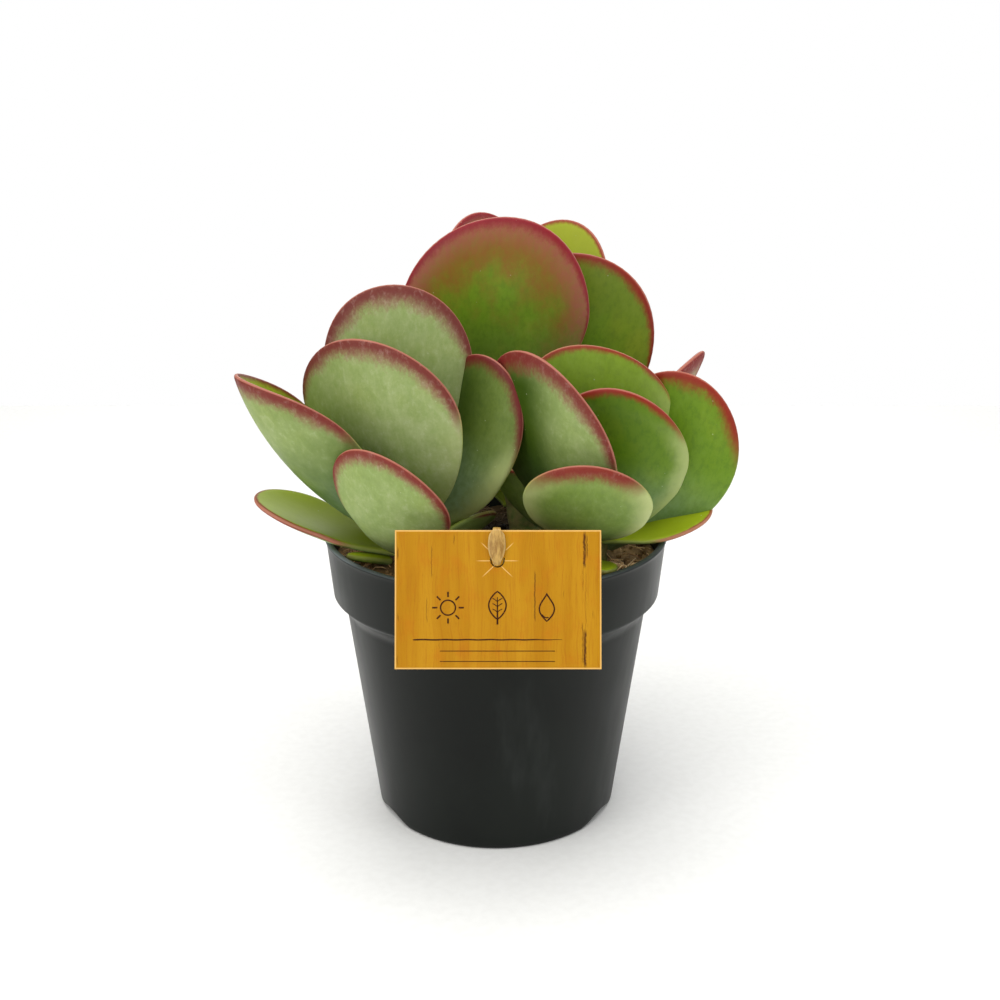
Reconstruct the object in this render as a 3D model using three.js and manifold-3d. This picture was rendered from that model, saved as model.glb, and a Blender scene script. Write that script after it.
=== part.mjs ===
// A paddle plant in a 12 cm nursery pot: three rosettes of thick round leaves, soil, a label card and
// its clip.
// Millimetres, +Z up. The origin is the centre of the pot's underside; the front, with the label, faces -Y.
import * as THREE from "three";
import { mergeVertices } from "three/addons/utils/BufferGeometryUtils.js";
import Module from "manifold-3d";

const wasm = await Module();
wasm.setup();

// Driving dimensions.
const potHeight = 103;
const rimRadius = 60.2;
const baseRadius = 43.2;
const wallThickness = 1.5;
const collarHeight = 21; // from the lip down to the shoulder
const shoulderHeight = 7; // the inward curve between collar and wall
const wallTopRadius = 53.2;
const collarDraft = 0.1; // outward slope of the collar
const lipFlare = 0.3;
const lipHeight = 3;
const archHeight = 3; // the drainage arches cut into the foot
const archHalfSpan = 11.5;
const archDepth = 7;
const archAzimuths = [-150, -30, 30, 150]; // degrees from +X
const soilLevel = 93;
const gap = 0.3; // between pieces that touch
const potSides = 64;
const soilSides = 32;

const stemRadius = 6;
const stemDepth = 20; // below the soil's level
const soilHump = 1.2; // how uneven the soil's top is
const leafThickness = 3.4;
const leafEdge = 1.2;
const leafNeck = 13; // width where a leaf joins its stem
const narrowestNeck = 0.55; // most that a small leaf's neck takes of its width
const leafStart = 3; // from the stem's axis to the first row of a leaf

const cardWidth = 64;
const cardHeight = 43;
const cardThickness = 0.8;
const cardLean = 19; // degrees, backwards
const cardBottomZ = 80.3;
const cardBottomY = -69.5;
const cardMiddleX = 0.8;
const clipWidth = 5.5;
const clipThickness = 0.8;
const clipMiddleX = 0.4;
const clipFootZ = 85;
const tongueLength = 11.5; // the part of the clip that shows in front of the card

const degrees = Math.PI / 180;

const colours = {
  pot: 0x2b2d2c,
  soil: 0x2c2019,
  stem: 0x7d9a4e,
  leaf: 0x7fa04a,
  card: 0xd8931f,
  clip: 0xc9a766,
};

function plain(colour, roughness) {
  return new THREE.MeshStandardMaterial({ color: colour, roughness, metalness: 0 });
}

function named(name, geometry, material) {
  const mesh = new THREE.Mesh(geometry, material);
  mesh.name = name;
  return mesh;
}

// A closed geometry as a solid that can be cut or joined.
function toSolid(geometry) {
  const bare = geometry.clone();
  bare.deleteAttribute("normal");
  bare.deleteAttribute("uv");
  const merged = mergeVertices(bare, 1e-3);
  const vertProperties = merged.attributes.position.array;
  const triVerts = new Uint32Array(merged.index.array);
  return new wasm.Manifold(new wasm.Mesh({ numProp: 3, vertProperties, triVerts }));
}

function toGeometry(solid) {
  const mesh = solid.getMesh();
  const geometry = new THREE.BufferGeometry();
  geometry.setAttribute("position", new THREE.BufferAttribute(mesh.vertProperties, 3));
  geometry.setIndex(new THREE.BufferAttribute(mesh.triVerts, 1));
  geometry.computeVertexNormals();
  return geometry;
}

// A solid of revolution about Z from [radius, height] points listed upwards along its outside.
function turned(points, sides) {
  const profile = points.map(([r, z]) => new THREE.Vector2(r, z));
  const geometry = new THREE.LatheGeometry(profile, sides);
  geometry.rotateX(Math.PI / 2);
  return geometry;
}

// The pot's outside, from the foot up: wall, shoulder, collar and flared lip.
const collarBottomZ = potHeight - collarHeight;
const wallTopZ = collarBottomZ - shoulderHeight;
const collarBottomRadius = rimRadius - lipFlare - collarDraft * collarHeight;

function outsideRadius(z) {
  if (z <= wallTopZ) return THREE.MathUtils.lerp(baseRadius, wallTopRadius, z / wallTopZ);
  if (z <= collarBottomZ) {
    const t = (z - wallTopZ) / shoulderHeight;
    return THREE.MathUtils.lerp(wallTopRadius, collarBottomRadius, 1 - Math.cos((t * Math.PI) / 2));
  }
  const flare = Math.max(0, (z - potHeight + lipHeight) / lipHeight);
  const collar = rimRadius - lipFlare - collarDraft * (potHeight - z);
  return collar + lipFlare * flare;
}

const profileHeights = [1.5, wallTopZ, wallTopZ + 2.5, wallTopZ + 5, collarBottomZ, potHeight - lipHeight];

function makePot() {
  const outside = [[0, 0], [baseRadius - 1.5, 0]];
  for (const z of profileHeights) outside.push([outsideRadius(z), z]);
  outside.push([rimRadius, potHeight - 0.6], [rimRadius - 0.5, potHeight], [rimRadius - 2, potHeight]);
  const inside = profileHeights.slice(1).reverse().map((z) => [outsideRadius(z) - wallThickness, z]);
  inside.push([outsideRadius(2) - wallThickness - 1, 2], [0, 2]);
  const shell = toSolid(turned([...outside, ...inside], potSides));

  // A bell-shaped arch seen along X, cut through the foot at each azimuth.
  const arch = new THREE.Shape();
  const lead = archHalfSpan * 0.45;
  arch.moveTo(-archHalfSpan, -1);
  arch.lineTo(-archHalfSpan, 0);
  arch.bezierCurveTo(-archHalfSpan + lead, 0, -lead * 1.3, archHeight, 0, archHeight);
  arch.bezierCurveTo(lead * 1.3, archHeight, archHalfSpan - lead, 0, archHalfSpan, 0);
  arch.lineTo(archHalfSpan, -1);
  const options = { depth: archDepth + 9, bevelEnabled: false, curveSegments: 6 };
  const cutter = new THREE.ExtrudeGeometry(arch, options);
  cutter.rotateX(Math.PI / 2);
  cutter.rotateZ(Math.PI / 2);
  cutter.translate(baseRadius - archDepth, 0, 0);
  const cut = (solid, azimuth) => solid.subtract(toSolid(cutter.clone().rotateZ(azimuth * degrees)));
  return toGeometry(archAzimuths.reduce(cut, shell));
}

// Half the width of a leaf at a share t of its length: a narrow neck, widest past the middle and a round
// tip. A small full value makes the neck widen sooner and a large point value makes the tip pointed.
function paddle(t, leaf) {
  const half = leaf.width / 2;
  const widest = leaf.widest ?? 0.6;
  const neck = Math.min(leafNeck / leaf.width, narrowestNeck);
  if (t <= 0) return half * neck;
  if (t < widest) {
    const rise = Math.sin((Math.PI / 2) * (t / widest)) ** (leaf.full ?? 1.25);
    return half * (neck + (1 - neck) * rise);
  }
  return half * Math.max(0, 1 - ((t - widest) / (1 - widest)) ** 2) ** (leaf.point ?? 0.5);
}

// Frames along the midrib: the point, the way it runs, its right-hand side and its upper face.
function midrib(leaf) {
  const steps = 32;
  const frames = [];
  const at = new THREE.Vector3();
  const turn = leaf.azimuth * degrees;
  for (let i = 0; i <= steps; i++) {
    const t = i / steps;
    const rise = THREE.MathUtils.lerp(leaf.rise[0], leaf.rise[1], t) * degrees;
    const roll = (leaf.roll ?? 0) * (0.5 + 0.5 * THREE.MathUtils.smoothstep(t, 0, 0.5)) * degrees;
    const outwards = new THREE.Vector3(Math.cos(turn), Math.sin(turn), 0);
    const along = outwards.multiplyScalar(Math.cos(rise)).setZ(Math.sin(rise));
    const level = new THREE.Vector3(-Math.sin(turn), Math.cos(turn), 0);
    const up = new THREE.Vector3().crossVectors(along, level);
    const side = level.clone().multiplyScalar(Math.cos(roll)).addScaledVector(up, Math.sin(roll));
    const face = up.multiplyScalar(Math.cos(roll)).addScaledVector(level, -Math.sin(roll));
    frames.push({ at: at.clone(), side, face });
    at.addScaledVector(along, leaf.length / steps);
  }
  return frames;
}

// The point of the leaf's middle sheet that lies x across and y along the flat leaf.
function onSheet(leaf, frames, x, y) {
  const t = (y / leaf.length) * (1 + ((leaf.slant ?? 0) * x) / leaf.length);
  const place = t * (frames.length - 1);
  const i = THREE.MathUtils.clamp(Math.floor(place), 0, frames.length - 2);
  const part = place - i;
  const half = leaf.width / 2;
  const bend = (leaf.cup * degrees) / half;
  const across = Math.sin(bend * x) / bend;
  const lift = (1 - Math.cos(bend * x)) / bend;
  const at = frames[i].at.clone().lerp(frames[i + 1].at, part);
  at.addScaledVector(frames[i].side.clone().lerp(frames[i + 1].side, part), across);
  return at.addScaledVector(frames[i].face.clone().lerp(frames[i + 1].face, part), lift);
}

// The leaf's outline laid flat, from the middle of its base round the right side, the tip and the left side.
function outline(leaf) {
  const perSide = 5;
  const widest = leaf.widest ?? 0.6;
  const shares = [];
  for (let i = 0; i < perSide; i++) shares.push((widest * i) / perSide);
  for (let i = 0; i <= perSide; i++) {
    shares.push(widest + (1 - widest) * Math.sin((Math.PI / 2) * (i / perSide)));
  }
  const right = shares.map((t) => [paddle(t, leaf), t * leaf.length]);
  const left = right.slice(0, -1).reverse().map(([x, y]) => [-x, y]);
  return [[0, 0], ...right, ...left];
}

// A leaf: rings of points between its middle and its outline, on both faces, closed by the rim. Swell
// thickens it.
function makeLeaf(leaf, swell) {
  const frames = midrib(leaf);
  const edge = outline(leaf);
  const centreY = (leaf.widest ?? 0.6) * leaf.length;
  const rings = [0.5, 0.82, 1];
  const flat = [[0, centreY]];
  for (const share of rings) {
    const spread = share * (1 + (2 * swell) / leaf.width);
    for (const [x, y] of edge) flat.push([x * spread, centreY + (y - centreY) * spread]);
  }
  const positions = [];
  const step = 0.5;
  for (const faceSign of [1, -1]) {
    for (const [x, y] of flat) {
      const t = y / leaf.length;
      const at = onSheet(leaf, frames, x, y);
      const dx = onSheet(leaf, frames, x + step, y).sub(onSheet(leaf, frames, x - step, y));
      const dy = onSheet(leaf, frames, x, y + step).sub(onSheet(leaf, frames, x, y - step));
      const normal = dy.cross(dx).normalize().negate();
      const rounded = Math.sqrt(Math.max(0, 1 - (x / Math.max(paddle(t, leaf), 1e-6)) ** 2));
      const body = (leafThickness - leafEdge) * Math.sqrt(Math.max(0, 1 - t ** 4));
      const half = (leafEdge + body * rounded) / 2 + swell;
      at.addScaledVector(normal, faceSign * half);
      positions.push(at.x, at.y, at.z);
    }
  }
  const n = edge.length;
  const back = flat.length;
  const index = [];
  const ring = (k, i) => 1 + k * n + (i % n);
  for (let i = 0; i < n; i++) {
    const faces = [[0, ring(0, i), ring(0, i + 1)]];
    for (let k = 0; k + 1 < rings.length; k++) {
      faces.push([ring(k, i), ring(k + 1, i), ring(k + 1, i + 1)]);
      faces.push([ring(k, i), ring(k + 1, i + 1), ring(k, i + 1)]);
    }
    for (const [a, b, c] of faces) index.push(a, b, c, back + a, back + c, back + b);
    const [p, q] = [ring(rings.length - 1, i), ring(rings.length - 1, i + 1)];
    index.push(p, back + p, back + q, p, back + q, q);
  }
  const geometry = new THREE.BufferGeometry();
  geometry.setAttribute("position", new THREE.Float32BufferAttribute(positions, 3));
  geometry.setIndex(index);
  return geometry;
}

// The rosettes. Each leaf leaves its stem at a height above the soil, points to an azimuth (0 right,
// -90 front), rises from its first to its last angle and is cupped towards its upper face. Roll turns it
// about its midrib, slant leans its tip to one side, and widest, full and point shape its outline.
const rosettes = {
  left: {
    foot: [-29, -8],
    top: [-31, -10],
    height: 44,
    leaves: {
      sprout: {
        height: 3, azimuth: -140, rise: [20, 16], length: 18.5, width: 6.5, cup: 15,
        start: 10, widest: 0.4, point: 1,
      },
      side_low_left: { height: 5, azimuth: -172, rise: [14, 33], length: 55, width: 29, cup: 25, roll: -8 },
      side_low_right: { height: 3, azimuth: 5, rise: [20, 40], length: 30, width: 22, cup: 20, roll: -30 },
      front_low: {
        height: 5, azimuth: -98, rise: [17, 82], length: 65, width: 40, cup: 22,
        slant: -0.3, full: 2.2, roll: -12, widest: 0.7,
      },
      back_low: { height: 7, azimuth: 100, rise: [18, 60], length: 48, width: 40, cup: 22 },
      side_left: {
        height: 10, azimuth: -154, rise: [26, 72], length: 85, width: 62,
        cup: 80, full: 0.7,
      },
      side_right: {
        height: 13, azimuth: -28, rise: [49, 88], length: 70, width: 38,
        cup: 22, roll: -104, widest: 0.66,
      },
      front_mid: { height: 18, azimuth: -115, rise: [52, 86], length: 72, width: 60, cup: 24, full: 0.7 },
      back_mid: { height: 19, azimuth: 125, rise: [40, 72], length: 50, width: 38, cup: 22 },
      front_top: { height: 30, azimuth: -100, rise: [75, 91], length: 70, width: 50, cup: 20, roll: 10 },
      inner_left: { height: 37, azimuth: 165, rise: [70, 86], length: 24, width: 14, cup: 22 },
      inner_right: { height: 37, azimuth: 30, rise: [70, 86], length: 24, width: 14, cup: 22 },
    },
  },
  right: {
    foot: [33, -8],
    top: [35, -10],
    height: 36,
    leaves: {
      sprout: {
        height: 3, azimuth: -84, rise: [12, 14], length: 21, width: 11, cup: 15,
        start: 10, widest: 0.5, point: 0.7,
      },
      side_low_left: { height: 6, azimuth: 168, rise: [32, 50], length: 40, width: 20, cup: 20, roll: 55 },
      side_low_right: {
        height: 10.5, azimuth: -3, rise: [10, 24], length: 39.5, width: 22,
        cup: 25, roll: 28,
      },
      front_low: { height: 12, azimuth: -98, rise: [8, 80], length: 55, width: 43, cup: 22, widest: 0.64 },
      side_left: {
        height: 10, azimuth: -130, rise: [43, 90], length: 78, width: 52,
        cup: 22, roll: -2, slant: -0.2,
      },
      side_right: {
        height: 7, azimuth: -8, rise: [42, 88], length: 69.5, width: 45,
        cup: 20, roll: -98, full: 1, slant: -0.3, widest: 0.64,
      },
      front_mid: {
        height: 9, azimuth: -64, rise: [61, 83], length: 60, width: 48, cup: 20,
        slant: -0.25, full: 0.8, widest: 0.6, roll: -28,
      },
      front_top: {
        height: 22.5, azimuth: -88, rise: [80, 92], length: 56, width: 52,
        cup: 20, slant: -0.2, full: 1,
      },
      back_right: {
        height: 20, azimuth: 36, rise: [41, 54], length: 68, width: 30,
        cup: 22, roll: -56, point: 0.85,
      },
      back_mid: { height: 15, azimuth: 110, rise: [38, 62], length: 42, width: 36, cup: 22 },
      inner_left: { height: 30, azimuth: 170, rise: [70, 86], length: 22, width: 13, cup: 22 },
      inner_right: { height: 30, azimuth: 65, rise: [70, 86], length: 22, width: 13, cup: 22 },
    },
  },
  rear: {
    foot: [11, 22],
    top: [2, 24],
    height: 62,
    leaves: {
      back_low: { height: 10, azimuth: 95, rise: [20, 60], length: 56, width: 46, cup: 22 },
      side_low_left: { height: 22, azimuth: 148, rise: [30, 62], length: 50, width: 40, cup: 22 },
      side_low_right: { height: 20, azimuth: 55, rise: [30, 62], length: 50, width: 40, cup: 22 },
      front: {
        height: 38, azimuth: -115, rise: [66, 90], length: 82, width: 68,
        cup: 15, roll: 15, slant: 0.2, widest: 0.57,
      },
      back: { height: 32, azimuth: 95, rise: [45, 78], length: 66, width: 56, cup: 18 },
      right: {
        height: 35, azimuth: -6, rise: [62, 80], length: 73, width: 62,
        cup: 15, roll: -95, full: 0.7, widest: 0.55,
      },
      back_right: { height: 41, azimuth: 45, rise: [62, 78], length: 77, width: 44, cup: 20, roll: 25 },
      left: { height: 50, azimuth: 126, rise: [72, 86], length: 68, width: 38, cup: 15, roll: -10 },
    },
  },
};

function stemGeometry(rosette, swell) {
  const radius = stemRadius + swell;
  const below = stemDepth + swell;
  const line = new THREE.Vector3(...rosette.top, rosette.height).sub(new THREE.Vector3(...rosette.foot, 0));
  const length = line.length() + swell;
  const lower = [[0, -below], [radius * 0.9, -below], [radius, 0]];
  const upper = [[radius * 0.8, length - 3], [radius * 0.4, length], [0, length]];
  const geometry = turned([...lower, ...upper], 16);
  const upright = new THREE.Vector3(0, 0, 1);
  geometry.applyQuaternion(new THREE.Quaternion().setFromUnitVectors(upright, line.normalize()));
  return geometry.translate(...rosette.foot, soilLevel);
}

// A leaf of a rosette where it leaves its stem.
function placedLeaf(rosette, leaf, swell) {
  const share = leaf.height / rosette.height;
  const turn = leaf.azimuth * degrees;
  const start = leaf.start ?? leafStart;
  const x = THREE.MathUtils.lerp(rosette.foot[0], rosette.top[0], share) + start * Math.cos(turn);
  const y = THREE.MathUtils.lerp(rosette.foot[1], rosette.top[1], share) + start * Math.sin(turn);
  return toSolid(makeLeaf(leaf, swell).translate(x, y, soilLevel + leaf.height));
}

// The peat: it fills the pot up to a gently uneven top.
function makeSoil() {
  const inside = (z) => outsideRadius(z) - wallThickness - gap;
  const side = [...profileHeights.slice(1, -1), soilLevel - 1].map((z) => [inside(z), z]);
  const top = [0.85, 0.6, 0.3, 0].map((share) => [inside(soilLevel) * share, soilLevel]);
  const foot = [[0, 2 + gap], [inside(2) - 1, 2 + gap]];
  const geometry = turned([...foot, ...side, ...top], soilSides);
  const place = geometry.attributes.position;
  for (let i = 0; i < place.count; i++) {
    if (place.getZ(i) < soilLevel) continue;
    const hump = Math.sin(place.getX(i) / 9) * Math.cos(place.getY(i) / 11 + 1);
    place.setZ(i, soilLevel + soilHump * hump);
  }
  return toSolid(geometry);
}

// The card stands in front of the rim and leans back; its clip is a stake in the soil folded over the
// card's top.
const lean = cardLean * degrees;

// A point of the label in the plane of YZ: up along the card from its lower edge, and out in front of it.
function onCard(up, out) {
  const y = cardBottomY + up * Math.sin(lean) - out * Math.cos(lean);
  return [y, cardBottomZ + up * Math.cos(lean) + out * Math.sin(lean)];
}

// A flat shape drawn in the plane of YZ, extruded to both sides of X = middle.
function acrossX(points, width, middle) {
  const shape = new THREE.Shape(points.map(([y, z]) => new THREE.Vector2(y, z)));
  const geometry = new THREE.ExtrudeGeometry(shape, { depth: width, bevelEnabled: false });
  geometry.rotateX(Math.PI / 2);
  geometry.rotateZ(Math.PI / 2);
  return geometry.translate(middle - width / 2, 0, 0);
}

function makeCard() {
  const back = [onCard(0, 0), onCard(cardHeight, 0)];
  const front = [onCard(cardHeight, cardThickness), onCard(0, cardThickness)];
  return toGeometry(toSolid(acrossX([...back, ...front], cardWidth, cardMiddleX)));
}

// The clip's side view: the tongue's end, up the front, over the card's top edge and down into the soil.
function makeClip(swell) {
  const front = cardThickness + gap;
  const over = cardHeight + gap;
  const tongueEnd = cardHeight - tongueLength;
  const [backY, backZ] = onCard(over, -gap);
  const legs = [[backY + clipThickness + swell, backZ], [backY + clipThickness + swell, clipFootZ - swell]];
  legs.push([backY - swell, clipFootZ - swell], [backY - swell, backZ]);
  const outer = [onCard(tongueEnd, front + clipThickness), onCard(over, front + clipThickness)];
  const top = [onCard(over + clipThickness, front), [backY + clipThickness, backZ + clipThickness]];
  const inner = [onCard(over, front), onCard(tongueEnd, front)];
  return toSolid(acrossX([...outer, ...top, ...legs, ...inner], clipWidth + 2 * swell, clipMiddleX));
}

const plant = new THREE.Group();
plant.add(named("pot", makePot(), plain(colours.pot, 0.45)));
const leafMaterial = plain(colours.leaf, 0.5);
const stemMaterial = plain(colours.stem, 0.6);
for (const [side, rosette] of Object.entries(rosettes)) {
  plant.add(named(`stem_${side}`, stemGeometry(rosette, 0), stemMaterial));
}

// Leaves that press on each other or on a stem are trimmed by what came before them, swollen by the gap.
const swollen = Object.values(rosettes).map((rosette) => toSolid(stemGeometry(rosette, gap)));
for (const [side, rosette] of Object.entries(rosettes)) {
  for (const [name, leaf] of Object.entries(rosette.leaves)) {
    const trimmed = swollen.reduce((solid, other) => solid.subtract(other), placedLeaf(rosette, leaf, 0));
    const largest = trimmed.decompose().reduce((a, b) => (b.volume() > a.volume() ? b : a));
    plant.add(named(`leaf_${side}_${name}`, toGeometry(largest), leafMaterial));
    swollen.push(placedLeaf(rosette, leaf, gap));
  }
}
const hollowed = swollen.reduce((solid, other) => solid.subtract(other), makeSoil());
plant.add(named("soil", toGeometry(hollowed.subtract(makeClip(gap))), plain(colours.soil, 0.95)));
plant.add(named("label_card", makeCard(), plain(colours.card, 0.6)));
plant.add(named("label_clip", toGeometry(makeClip(0)), plain(colours.clip, 0.5)));

export default plant;
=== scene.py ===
import math

import bmesh
import bpy
import numpy as np
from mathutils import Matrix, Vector


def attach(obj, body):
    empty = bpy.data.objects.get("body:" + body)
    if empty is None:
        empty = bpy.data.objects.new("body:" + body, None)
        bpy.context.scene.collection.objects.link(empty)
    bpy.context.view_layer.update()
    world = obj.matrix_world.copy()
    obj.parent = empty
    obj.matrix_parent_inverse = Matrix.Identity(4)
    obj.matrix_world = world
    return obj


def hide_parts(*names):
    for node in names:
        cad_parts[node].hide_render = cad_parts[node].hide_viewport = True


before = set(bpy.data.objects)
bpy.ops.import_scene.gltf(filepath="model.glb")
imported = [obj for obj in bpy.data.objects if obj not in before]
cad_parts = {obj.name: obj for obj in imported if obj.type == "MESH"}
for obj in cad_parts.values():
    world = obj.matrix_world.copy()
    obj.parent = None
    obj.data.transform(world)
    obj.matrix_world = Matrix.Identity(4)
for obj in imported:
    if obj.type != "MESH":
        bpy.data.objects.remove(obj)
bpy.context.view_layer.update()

MM = 0.001

# Camera: where it stands, how far it looks down, and its lens on a 36 mm sensor.
CAMERA_PLACE = (1.4, -450.0, 254.4)
CAMERA_PITCH = 17.4
CAMERA_LENS = 48.24

# Pot, soil, leaves and label: the sizes of the part, in millimetres.
POT_HEIGHT = 103.0
RIM_RADIUS = 60.2
BASE_RADIUS = 43.2
WALL = 1.5
POT_FLOOR = 2.0
COLLAR_BOTTOM = 82.0
WALL_TOP = 75.0
WALL_TOP_RADIUS = 53.2
COLLAR_DRAFT = 0.1
LIP_FLARE = 0.3
LIP_HEIGHT = 3.0
ARCH_HEIGHT = 3.0
ARCH_HALF_SPAN = 11.5
ARCH_DEPTH = 7.0
ARCH_AZIMUTHS = (-150, -30, 30, 150)
POT_SIDES = 256

SOIL_LEVEL = 93.0
SOIL_HUMP = 1.2
SOIL_GAP = 0.3
SOIL_BOTTOM = 2.6
SOIL_ROUGH = 0.32
SOIL_SPREAD = 55.0  # how far from the middle the crumbs and fibres start
FIBRE_REACH = 56.5  # farther out a fibre would go through the pot's wall
CRUMBS = 900
PALE_CRUMBS = 0.12  # the share of them that is pale
FIBRES = 420

STEM_RADIUS = 6.0
STEM_DEPTH = 20.0

LEAF_THICKNESS = 3.4
LEAF_EDGE = 1.2
LEAF_NECK = 13.0
NARROWEST_NECK = 0.55  # most that a small leaf's neck takes of its width
LEAF_START = 3.0
LEAF_WIDEST = 0.6
LEAF_FULL = 1.25
RIM_ROUNDING = 0.9
MIDRIB_STEPS = 32
OUTLINE_WAVE = 0.014  # how far the outline wavers, as a share of its distance from the widest place
WAVY_WIDTH = 30.0  # narrower leaves ripple less
LAST_FLAT_RING = 0.91  # the last ring of points before the rim, as a share of the way to the outline
PATTERN_STEP = 37.0  # between one leaf's pattern and the next one's

CARD_WIDTH = 64.0
CARD_HEIGHT = 43.0
CARD_THICKNESS = 0.8
CARD_LEAN = math.radians(19)
CARD_BOTTOM = (-69.5, 80.3)
CARD_MIDDLE = 0.8
STAKE_MIDDLE = 0.4
STAKE_FOOT = 85.0
SLIT_MIDDLE = (31.8, 33.8)  # on the card: from its left edge and up from its lower edge
SLIT_RADIUS = 2.0
SLIT_WIDTH = 0.42
INK_DEPTH = 0.02  # how far the print goes into the card
INK_HEIGHT = 0.05  # and how far it stands out


def srgb(red, green, blue):
    """A colour given as it looks on a screen, 0 to 255, as the linear numbers that shaders take."""
    share = np.array([red, green, blue]) / 255
    linear = np.where(share <= 0.04045, share / 12.92, ((share + 0.055) / 1.055) ** 2.4)
    return tuple(float(x) for x in linear)


def lerp(a, b, t):
    return a + (b - a) * t


def smoothstep(low, high, value):
    t = np.clip((value - low) / (high - low), 0, 1)
    return t * t * (3 - 2 * t)


# ---------------------------------------------------------------- meshes


def add_piece(name, points, faces, look, replaces=(), attributes=None):
    """A smooth-shaded mesh piece from points in millimetres, riding on the plant's one body."""
    mesh = bpy.data.meshes.new(name)
    mesh.from_pydata((np.asarray(points) * MM).tolist(), [], [tuple(int(i) for i in face) for face in faces])
    mesh.polygons.foreach_set("use_smooth", [True] * len(mesh.polygons))
    for label, values in (attributes or {}).items():
        values = np.asarray(values, np.float32)
        kind = "FLOAT_VECTOR" if values.ndim == 2 else "FLOAT"
        field = "vector" if values.ndim == 2 else "value"
        mesh.attributes.new(label, kind, "POINT").data.foreach_set(field, values.ravel())
    mesh.validate()
    mesh.materials.append(look)
    piece = bpy.data.objects.new(name, mesh)
    bpy.context.scene.collection.objects.link(piece)
    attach(piece, "root")
    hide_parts(*replaces)
    return piece


def ring_faces(first, second, count):
    """Quads between two closed rings of points that start at these indices."""
    return [(first + i, first + (i + 1) % count, second + (i + 1) % count, second + i) for i in range(count)]


def ring(radius, z, turn):
    """Points round the pot's axis at these angles."""
    return np.stack(np.broadcast_arrays(radius * np.cos(turn), radius * np.sin(turn), z), 1)


def capped_faces(rings, sides):
    """Faces of a closed skin whose points are a first one, a number of rings and a last one."""
    faces = []
    for k in range(rings - 1):
        faces += ring_faces(1 + k * sides, 1 + (k + 1) * sides, sides)
    last = 1 + (rings - 1) * sides
    for i in range(sides):
        j = (i + 1) % sides
        faces += [(0, 1 + j, 1 + i), (last + sides, last + i, last + j)]
    return faces


def tube(path, radii, sides):
    """Points and faces of a closed tube with pointed ends along a path, with one radius per path point."""
    path = np.asarray(path, float)
    ahead = np.gradient(path, axis=0)
    ahead /= np.linalg.norm(ahead, axis=1)[:, None]
    steady = np.array([0.21, 0.33, 0.92])
    right = np.cross(ahead, steady)
    right /= np.linalg.norm(right, axis=1)[:, None]
    up = np.cross(right, ahead)
    turn = np.linspace(0, 2 * math.pi, sides, endpoint=False)
    circle = np.cos(turn)[None, :, None] * right[:, None] + np.sin(turn)[None, :, None] * up[:, None]
    rings = path[:, None] + circle * np.asarray(radii)[:, None, None]
    return np.vstack([path[:1], rings.reshape(-1, 3), path[-1:]]), capped_faces(len(path), sides)


class Heap:
    """Many small bodies gathered into one mesh."""

    def __init__(self):
        self.points = []
        self.faces = []
        self.tones = []
        self.count = 0

    def add(self, points, faces, tone=0.0):
        self.points.append(points)
        self.faces += [tuple(i + self.count for i in face) for face in faces]
        self.tones.append(np.full(len(points), tone))
        self.count += len(points)

    def piece(self, name, look, slot, replaces=()):
        tones = np.concatenate(self.tones)
        return add_piece(name, np.vstack(self.points), self.faces, look, replaces, {"tone": tones})


# ---------------------------------------------------------------- materials


class Field:
    """A number, vector or colour that varies over a surface. Arithmetic on numbers adds Math nodes."""

    def __init__(self, look, socket):
        self.look = look
        self.socket = socket

    def __add__(self, other):
        return self.look.math("ADD", self, other)

    def __sub__(self, other):
        return self.look.math("SUBTRACT", self, other)

    def __rsub__(self, other):
        return self.look.math("SUBTRACT", other, self)

    def __mul__(self, other):
        return self.look.math("MULTIPLY", self, other)

    def __truediv__(self, other):
        return self.look.math("DIVIDE", self, other)

    def __abs__(self):
        return self.look.math("ABSOLUTE", self)

    def at_least(self, other):
        return self.look.math("MAXIMUM", self, other)

    def at_most(self, other):
        return self.look.math("MINIMUM", self, other)


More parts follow.
